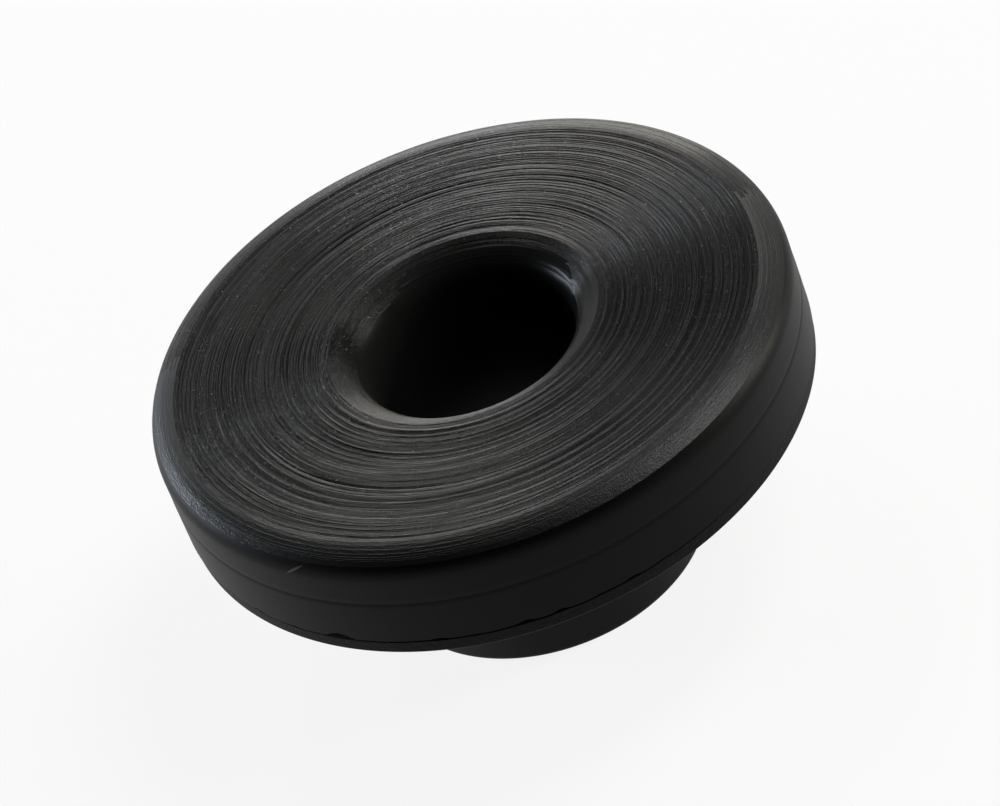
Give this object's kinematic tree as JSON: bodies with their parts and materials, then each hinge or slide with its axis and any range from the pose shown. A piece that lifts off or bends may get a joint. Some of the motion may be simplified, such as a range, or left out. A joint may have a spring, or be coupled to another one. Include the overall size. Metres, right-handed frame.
{
  "type": "headlamp bushing",
  "caption": "Black moulded rubber bushing with a thick round flange, a plain boss and a through hole for a bolt, used to mount a headlamp softly on its bracket.",
  "frame": {"origin": "centre of the boss's end face, on the axis of the bolt hole, where the bushing stands", "axes": "+Z along the bolt hole, from the boss towards the turned face of the flange; X and Y are free, because the bushing is round"},
  "size_m": [0.0254, 0.0254, 0.0115],
  "materials": {
    "rubber": "satin"
  },
  "bodies": {
    "root": {"bushing": "rubber"}
  },
  "joints": []
}
